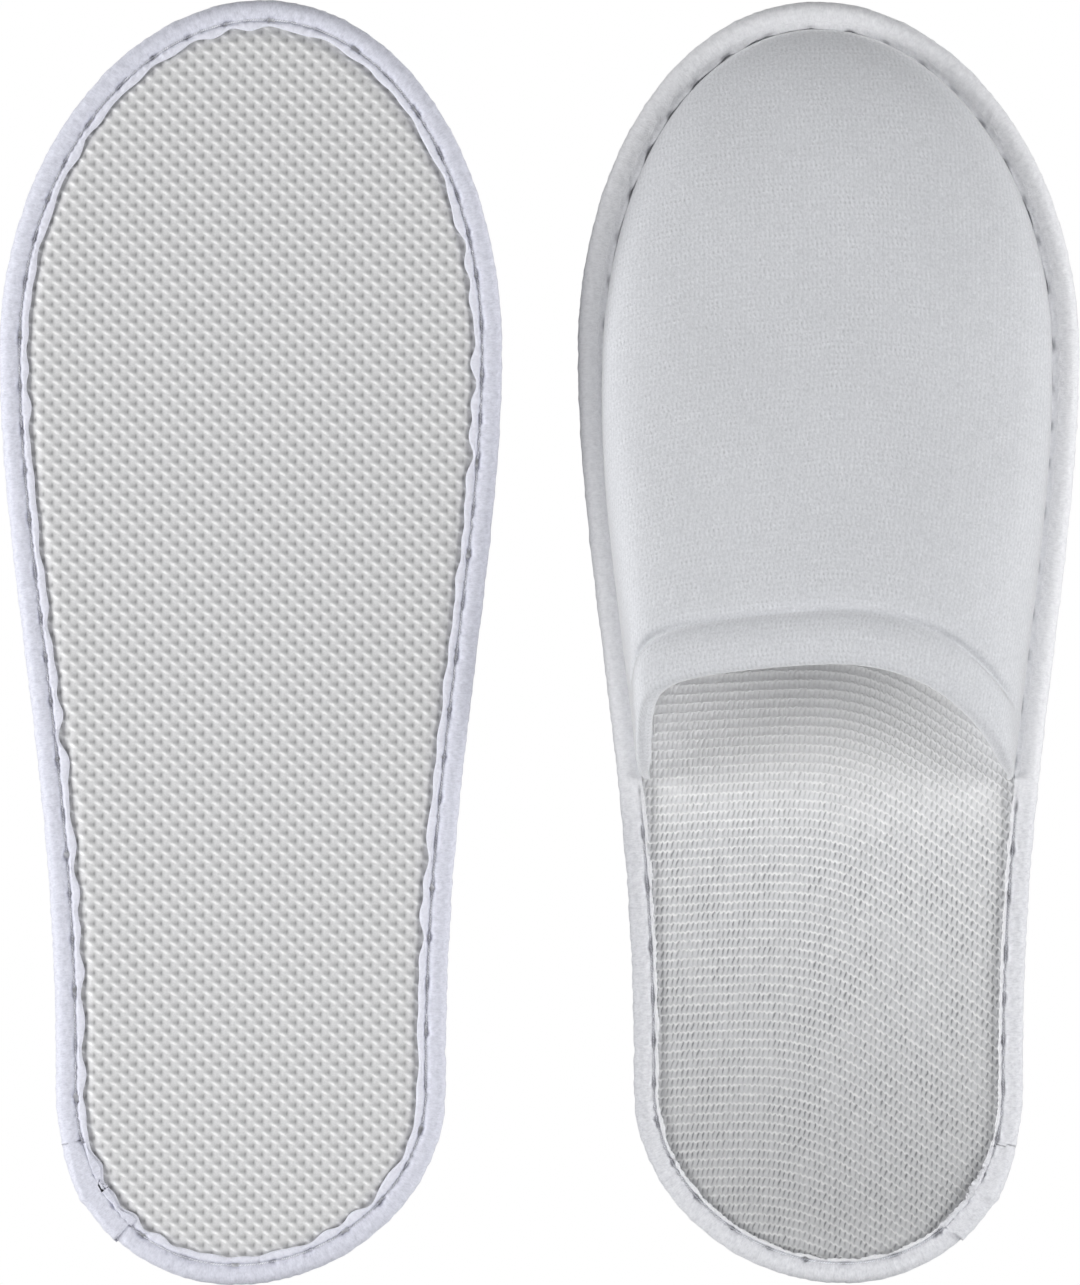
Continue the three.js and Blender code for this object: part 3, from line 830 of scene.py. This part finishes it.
def tapeSection(share, y, grooved=1.0):
    # a C in section, from its edge under the sole, round the outside, to its edge on top:
    # a puffed roll, a groove drawn in by the stitches, and a thin lip beyond it
    top = tapeTop(y)
    under, over = stitchPinch(share, stitches["under"]), stitchPinch(share, stitches["top"])
    ahead = aheadShare(y)
    bare = 1 - ahead
    pulled = over * bare
    lipUnder = 6.15 + tapeShape["edgeWave"] * loopNoise(share, 31, 30, 90)
    lipOver = 5.5 + smooth(y, throatEnd, throatEnd + 10) * (0.62 - 0.3 * over)
    lipOver = lipOver + 0.1 * loopNoise(share, 37, 30, 90)
    puff = 0.035 * loopNoise(share, 41, 20, 70)
    deepUnder = 0.3 + (0.55 + under) * grooved
    deepOver = 0.3 - 0.14 * ahead + (0.55 + over) * grooved * bare
    corners = [  # distance in from the edge, and height
        # under the sole: lip, groove, roll
        (lipUnder, 0.95), (lipUnder + 0.05, 0.42), (lipUnder - 0.45, 0.20 + 0.1 * under),
        (5.15, 0.26 + 0.22 * under), (4.68 + 0.2 * under, deepUnder * 0.85), (4.48, deepUnder),
        (4.24 - 0.2 * under, deepUnder * 0.8), (3.45, 0.22 + 0.22 * under), (2.5, 0.08),
        (1.45, 0.28 - 0.2 * puff), (0.62 - 0.3 * puff, 0.95), (0.12 - 0.8 * puff, 2.0),
        # the outside, and the roll, groove and lip on top
        (-puff, top / 2), (0.12 - 0.8 * puff, top - 2.0), (0.62 - 0.3 * puff, top - 0.95),
        (1.45, top - 0.28 + 0.2 * puff), (2.5, top - 0.04),
        (3.45, top - 0.06 - 0.14 * bare - 0.2 * pulled), (4.24 - 0.2 * pulled, top - deepOver * 0.8),
        (4.48, top - deepOver), (4.68 + 0.2 * pulled, top - deepOver * (1.2 - 0.35 * bare)),
        (5.05 + 0.3 * ahead, top - 0.28 - 0.2 * pulled - 0.1 * ahead),
        (lipOver - 0.05, top - 0.45 - 0.4 * over * ahead), (lipOver - 0.15, top - 0.95),
        # back along the inside
        (4.4, top - 2.2), (2.2, top - 1.25), (1.2, top / 2 + 1.0), (1.2, top / 2 - 1.0),
        (2.2, 1.35), (4.4, 2.25),
    ]
    columns = ([np.broadcast_to(value, y.shape) for value in part] for part in zip(*corners))
    return [np.stack(part, axis=1) for part in columns]


def tapeSurface(grooved=1.0):
    # the section carried round the outline, then roughened along its own normal
    points, inward, length, share = soleOutline(tapeShape["stations"])
    depth, height = tapeSection(share, points[:, 1], grooved)
    table = splineSteps(depth.shape[1], tapeShape["steps"])
    depth, height = depth @ table.T, height @ table.T
    alongD = np.roll(depth, -1, 1) - np.roll(depth, 1, 1)
    alongZ = np.roll(height, -1, 1) - np.roll(height, 1, 1)
    size = np.hypot(alongD, alongZ) + 1e-9
    normalD, normalZ = -alongZ / size, alongD / size
    across = np.linspace(0, 1, depth.shape[1], endpoint=False)[None, :]
    s = share[:, None]
    lumps = tapeShape["lump"] * surfaceNoise(s, across, 53, 26, (40, 330), (0, 6))
    reach = np.abs(depth - stitches["inset"])
    creases = np.cos(2 * math.pi * (s * 370 + 0.5 * loopNoise(s, 61, 10, 60)) + reach)
    pucker = tapeShape["pucker"] * creases * np.exp(-((reach / 1.5) ** 2))
    outside = (across > 0.03) & (across < 0.78)
    calm = 1 - 0.75 * aheadShare(points[:, 1:]) * (across > 0.4)
    push = (lumps * (0.4 + 0.6 * calm) + pucker * grooved * calm) * outside
    depth = depth + normalD * push
    height = height + normalZ * push
    return points, inward, length, share, depth, height


def makeLoop(name, slipper, material, points, inward, depth, height, marks=None):
    # each section stood on the outline, its depth inwards from it, and joined into a ring
    plane = points[:, None, :] + inward[:, None, :] * depth[..., None]
    rings = place(np.concatenate([plane, height[..., None]], axis=-1), slipper).reshape(-1, 3)
    rows, columns = height.shape
    faces, corners = gridFaces(rows, columns, wrapRows=True, wrapColumns=True)
    uv = gridUv(rows + 1, columns + 1)
    return makePiece(name, rings, faces, uv, corners, material, marks)


tapeLap = {
    "from": -112.0,  # y at its two ends
    "to": -133.5,
    "flare": 0.75,  # how far it stands off at its loose end
    "cloth": 0.28,
    "groove": 0.9,  # share of the tape's groove that it follows
}


def makeTape(name, slipper, material):
    # the whole ring, a little flatter under its lap
    points, inward, length, share, depth, height = tapeSurface()
    back = -points[:, 1]
    covered = smooth(back, -tapeLap["from"], 2 - tapeLap["from"]) * (points[:, 0] > 0)
    covered = covered * (1 - smooth(back, -2 - tapeLap["to"], -tapeLap["to"]))
    floorGap = 0.02 + (0.06 + tapeLap["cloth"]) * covered[:, None]  # pressed in by the lap over it
    height = np.maximum(floorGap, height)
    # marks: painted shade where stitches pull, in the groove or at the edge round the upper, and the lip
    column = np.arange(depth.shape[1])[None, :] / depth.shape[1]
    under, over = (stitchPinch(share, stitches[side])[:, None] for side in ("under", "top"))
    ahead = (column > 0.4) * aheadShare(points[:, 1:])
    bare = 1 - ahead
    pull = np.clip(0.35 + 0.9 * np.where(column < 0.4, under, over), 0, 1)
    # painted shade: the groove and the stitch slits over the upper are darkened in colour
    groove = np.exp(-(((depth - 4.47) / 0.30) ** 2)) * pull * bare
    slitShade = np.exp(-(((depth - 5.6) / 0.3) ** 2)) * over * ahead
    lip = smooth(depth, 4.7, 5.1) * bare + 0.8 * ahead
    marks = {"stitchShade": (groove + 0.6 * slitShade).ravel(), "lip": lip.ravel()}
    piece = makeLoop(f"{name}_edge_tape", slipper, material, points, inward, depth, height, marks)
    finishPiece(piece, bothEnds(name, "edge_tape"))
    return piece, length / 1000


def makeThread(name, slipper, material, side):
    # a fine tube in the groove: it dives where a stitch pulls and shows between stitches
    points, inward, _, share = soleOutline(stitches["count"] * 14)
    deep = 0.85 + 0.9 * stitchPinch(share, stitches[side])
    level = deep if side == "under" else tapeTop(points[:, 1]) - deep
    around = np.linspace(0, 2 * math.pi, 6, endpoint=False)[None, :]
    height = level[:, None] + stitches["thread"] * np.sin(around)
    depth = stitches["inset"] - 0.06 + stitches["thread"] * np.cos(around)
    depth = np.broadcast_to(depth, height.shape)
    piece = makeLoop(f"{name}_{side}_thread", slipper, material, points, inward, depth, height)
    finishPiece(piece, bothEnds(name, f"{side}_thread"))


def makeTapeLap(name, slipper, material):
    # the loose end of the tape over its start: it leaves the curve of the heel on a
    # tangent, so it stands off by the square of the distance, then drops to its cut end
    grids = []
    for under in (0.0, tapeLap["cloth"]):
        points, inward, _, _, depth, height = tapeSurface(tapeLap["groove"])
        y = points[:, 1]
        chosen = np.flatnonzero((points[:, 0] > 0) & (y < tapeLap["from"]) & (y > tapeLap["to"]))
        t = np.linspace(1, 0, len(chosen))
        t = t if y[chosen[0]] < y[chosen[-1]] else t[::-1]
        flare = 0.2 + (tapeLap["flare"] * (t / 0.52) ** 2 - 0.2) * (1 - smooth(t, 0.52, 0.60))
        lift = np.clip(flare + tapeLap["cloth"] * smooth(t, 0, 0.15) - under, 0.02, 3)
        columns = np.arange(2 * tapeShape["steps"], 22 * tapeShape["steps"])
        slant = np.round(2 * np.sin(columns / columns[-1] * 4.0)).astype(int)
        rows = chosen[:, None] + slant[None, :]
        depth, height = depth[rows, columns], height[rows, columns]
        alongD, alongZ = np.gradient(depth, axis=1), np.gradient(height, axis=1)
        size = np.hypot(alongD, alongZ) + 1e-9
        depth = depth - alongZ / size * lift[:, None]
        height = height + alongD / size * lift[:, None]
        plane = points[rows] + inward[rows] * depth[..., None]
        floorGap = 0.02 if under == 0 else 0.3
        grids.append(np.concatenate([plane, np.maximum(floorGap, height)[..., None]], axis=-1))
    points, faces = sheetBody(grids[0], grids[1])
    uv = gridUv(*grids[0].shape[:2], rowEnd=0.05)
    piece = makePiece(f"{name}_tape_end", place(points, slipper), faces,
                      np.concatenate([uv, uv]), faces, material)
    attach(piece, f"{name}_heel")
    return piece


# The upper stands open on one slipper and lies pressed flat on the other
openUpper = {
    "toeHeight": 10.0, "toeRoll": 50.0, "rise": 19.0, "riseBias": 1.25,
    "squareToe": 2.3, "squareLeft": 11.0, "squareRight": 2.1, "bulge": 0.0, "skew": 0.0,
    "bellyLeft": 1.7, "bellyRight": 1.0, "cornerBack": 0.16, "squareBias": 2.6,
}
flatUpper = {
    "toeHeight": 9.5, "toeRoll": 26.0, "rise": 0.0, "riseBias": 1.0,
    "squareToe": 3.4, "squareLeft": 3.4, "squareRight": 3.4, "bulge": 3.8, "skew": 8.5,
    "bellyLeft": 0.0, "bellyRight": 0.0, "cornerBack": 0.0, "squareBias": 1.0,
    "pressedAt": turnedTop - 0.03,
}
pair["upright"]["upper"] = openUpper
pair["turned"]["upper"] = flatUpper
upperShape = {
    "footInset": 9.3, "arch": 27.0, "sharpness": 1.5, "bulgeRun": 90.0,
    "columns": 121, "rows": 96, "hemDepth": 10.0, "lip": 1.8, "cover": 3.1, "cloth": 0.65,
}


def throatY(state, angle):
    # climbs ahead with the arch, and falls back a little towards a squared left corner
    lift = np.sin(angle)
    square = state["squareLeft"]
    reach = np.maximum(0, 1 - lift**square) ** (1 / square) * (angle > math.pi / 2)
    ahead = upperShape["arch"] * lift ** upperShape["sharpness"]
    return throatEnd + ahead * (1 - state["cornerBack"] * reach**2)


def upperPoints(state, angle, y, offset, base):
    # a rounded-square arch at each distance y, grown from the toe backwards and held
    # offset outside the lining
    front = tipY - upperShape["footInset"]
    lift = np.sin(angle)
    back = np.maximum(0, front + offset - y)
    run = back / (front - throatEnd)
    right = angle < math.pi / 2
    squareBack = np.where(right, state["squareRight"], state["squareLeft"])
    turned = np.minimum(1, run) ** state["squareBias"]
    square = state["squareToe"] + (squareBack - state["squareToe"]) * turned
    reach = np.where(right, 1, -1) * np.maximum(0, 1 - lift**square) ** (1 / square)
    toeShare = 1 - np.minimum(1, back / state["toeRoll"])
    height = (state["toeHeight"] + offset) * np.sqrt(1 - toeShare**2)
    height = height + state["rise"] * run ** state["riseBias"]
    grow = np.minimum(1, back / upperShape["bulgeRun"]) ** 2
    swell = state["bulge"] * 27 / 4 * lift**2 * (1 - lift) * grow
    belly = np.where(right, state["bellyRight"], state["bellyLeft"])
    swell = swell + belly * 27 / 4 * lift * (1 - lift) ** 2 * smooth(back, 30, 110)
    width = halfWidth(y, upperShape["footInset"] - offset) + swell
    x = centreX(y) + width * reach + state["skew"] * lift**2 * grow
    return np.stack([x, y + 0 * x, base + height * lift], axis=-1)


def archAngles(state, count):
    # angles that space the columns evenly round the arch half way along the upper
    dense = np.linspace(0, math.pi, 4001)
    arch = upperPoints(state, dense, np.full_like(dense, 40.0), 3.1, 0.0)
    along = lengths(arch)
    return np.interp(np.linspace(0, along[-1], count), along, dense)


def coverRows():
    # per row: share of the way to the hem line, distance ahead of the opening, turn of the lip
    main = 1 - np.cos(math.pi / 2 * np.linspace(0, 1, upperShape["rows"]))
    hem = np.linspace(15, 0, 31)[1:]
    turn = np.linspace(0, math.pi, 13)[1:]
    flap = np.linspace(0, upperShape["hemDepth"], 9)[1:]
    share = np.concatenate([main, np.ones(len(hem) + len(turn) + len(flap))])
    ahead = np.concatenate([np.full(len(main), 15.0), hem, np.zeros(len(turn)), flap])
    lip = np.concatenate([np.zeros(len(main) + len(hem)), turn, np.full(len(flap), math.pi)])
    return share[:, None], ahead[:, None], lip[:, None]


def coverGrid(state, angle, inside):
    # the cloth from the toe to the opening, round the lip, and back in as the hem's flap
    share, ahead, lip = coverRows()
    lift = np.sin(angle)[None, :]
    roll = upperShape["lip"] * (0.35 + 0.65 * smooth(lift, 0, 0.4))
    radius = np.maximum(0.05, roll - (upperShape["cloth"] if inside else 0))
    middle = upperShape["cover"] - roll
    outer = np.cos(lip) * radius + middle
    onTop = (lip == 0) * 1.0
    band = ahead / upperShape["hemDepth"]
    puff = 0.95 * np.sin(math.pi * np.clip(band, 0, 1)) * (band < 1)
    crease = 1.0 * np.exp(-(((ahead - 10.6) / 1.0) ** 2)) + 0.25 * np.exp(-(((ahead - 11.8) / 2.2) ** 2))
    fade = np.where(angle > math.pi / 2, smooth(lift[0], 0.5, 0.97), smooth(lift[0], 0.25, 0.6))[None, :]
    outer = outer + onTop * (puff - crease) * (share > 0.999) * fade
    front = tipY - upperShape["footInset"] + outer
    y = front + (throatY(state, angle)[None, :] + ahead - front) * share
    y = y - np.sin(lip) * radius
    base = levels["coverBase"] + (0 if inside else levels["flangeTop"] - levels["coverBase"])
    grid = upperPoints(state, np.broadcast_to(angle[None, :], y.shape), y, outer, base)
    edge = []
    for side, column in ((1, 0), (-1, -1)):
        flangeY = tipY - 2.2 + (throatEnd + ahead - tipY + 2.2) * share
        x = centreX(flangeY) + side * halfWidth(flangeY, 2.2)
        flange = np.stack([x, flangeY, base + 0 * x], axis=-1)
        edge.append(np.where((lip > 0)[..., None], grid[:, column:column + 1 or None], flange))
    return np.concatenate([edge[0], grid, edge[1]], axis=1)


def flatUv(grid):
    # lengths along and across the cloth, brought into the unit square
    middle = grid.shape[1] // 2
    across = lengths(grid)
    across = across - across[:, middle:middle + 1]
    down = np.broadcast_to(lengths(grid[:, middle])[:, None] / 200, across.shape)
    return np.stack([across / 150 + 0.5, down], axis=-1)


def meshSheet(name, slipper, outer, inner, material):
    points, faces = sheetBody(outer, inner)
    uv = flatUv(outer).reshape(-1, 2)
    uv = np.concatenate([uv, uv])
    return makePiece(name, place(points, slipper), faces, uv, faces, material)


def dent(grid, state):
    # soft uneven fall of the cloth: a few broad waves, none at its sewn edges
    x, y, z = grid[..., 0], grid[..., 1], grid[..., 2]
    high = smooth(z, 9, 16)
    waves = 0.35 * np.sin(y / 17 + x / 23) + 0.25 * np.sin(y / 9 - x / 14 + 1.3)
    waves = waves + 0.12 * np.sin(x / 5 + y / 8)
    grid[..., 2] = np.minimum(z + high * waves, state.get("pressedAt", 99.0))
    return grid


def makeUpper(name, slipper, cover, lining, foam):
    state = slipper["upper"]
    angle = archAngles(state, upperShape["columns"])
    outer, inner = coverGrid(state, angle, False), coverGrid(state, angle, True)
    body = f"{name}_forepart"
    piece = meshSheet(f"{name}_cover", slipper, dent(outer, state), dent(inner, state), cover)
    finishPiece(piece, [f"{name}_upper_cover", f"{name}_throat_hem"], body)
    # the foam ends near the hem over the arch, and both end further in beside the sole
    nearFoot = 1 - smooth(np.sin(angle)[None, :], 0.1, 0.45)
    for part, low, high, base, shortBy, slot, material in (
        ("foam", 0.8, 1.6, levels["coverBase"] + 0.1, 2.6, "inner_foam", foam),
        ("lining", 0.0, 0.6, levels["liningBase"], 9.5, "lining_knit", lining)):
        share = (1 - np.cos(math.pi / 2 * np.linspace(0, 1, 70)))[:, None]
        grids = []
        for offset in (high, low):
            front = tipY - upperShape["footInset"] + offset
            hemY = throatY(state, angle)[None, :] + shortBy + (9.5 - shortBy) * nearFoot
            y = front + (hemY - front) * share
            grid = upperPoints(state, np.broadcast_to(angle[None, :], y.shape), y, offset, base)
            grids.append(dent(grid, state))
        layer = meshSheet(f"{name}_{part}", slipper, *grids, material)
        finishPiece(layer, [f"{name}_upper_{part}"], body)
    return piece


def makeHemThread(name, slipper, material):
    # a row of stitches along the flap: a tube that dips into the cloth between stitches
    state = slipper["upper"]
    angle = archAngles(state, 241)[6:-6]
    path = upperPoints(state, angle, throatY(state, angle) + 8.0, -0.6 + 0 * angle, levels["coverBase"])
    dips = 0.18 * np.cos(np.arange(len(angle)) * math.pi / 3)
    path[:, 2] = path[:, 2] + dips
    ahead = np.gradient(path, axis=0)
    ahead /= np.linalg.norm(ahead, axis=1)[:, None]
    sideways = np.cross(ahead, [0, 1.0, 0])
    sideways /= np.linalg.norm(sideways, axis=1)[:, None]
    upward = np.cross(sideways, ahead)
    around = np.linspace(0, 2 * math.pi, 6, endpoint=False)
    ring = path[:, None, :] + 0.2 * (np.cos(around)[None, :, None] * sideways[:, None, :]
                                     + np.sin(around)[None, :, None] * upward[:, None, :])
    ring = np.concatenate([np.repeat(path[:1, None], 6, 1), ring, np.repeat(path[-1:, None], 6, 1)])
    faces, corners = gridFaces(ring.shape[0], 6, wrapColumns=True)
    points = place(ring.reshape(-1, 3), slipper)
    piece = makePiece(f"{name}_hem_stitches", points, faces, gridUv(len(ring), 7), corners, material)
    finishPiece(piece, [f"{name}_hem_thread"], f"{name}_forepart")


tapeFelt = {name: feltMaterial(f"{name}Felt", (680, 30), felt[name]) for name in pair}
soleFoam = outsoleMaterial()
insoleKnit = insoleMaterial()
coverKnit = coverMaterial("brushedKnit", 0.6)
liningKnit = coverMaterial("liningKnit", 0.4)
innerFoam = foamMaterial()
thread = threadMaterial()
print("materials are in")

for name, slipper in pair.items():
    makeOutsole(name, slipper, soleFoam)
    makeMidsole(name, slipper, innerFoam)
    makeInsole(name, slipper, insoleKnit)
    tape, length = makeTape(name, slipper, tapeFelt[name])
    lap = makeTapeLap(name, slipper, tapeFelt[name])
    makeThread(name, slipper, thread, "under")
    makeThread(name, slipper, thread, "top")
    makeUpper(name, slipper, coverKnit, liningKnit, innerFoam)
    makeHemThread(name, slipper, thread)
    print(name, "slipper is made")
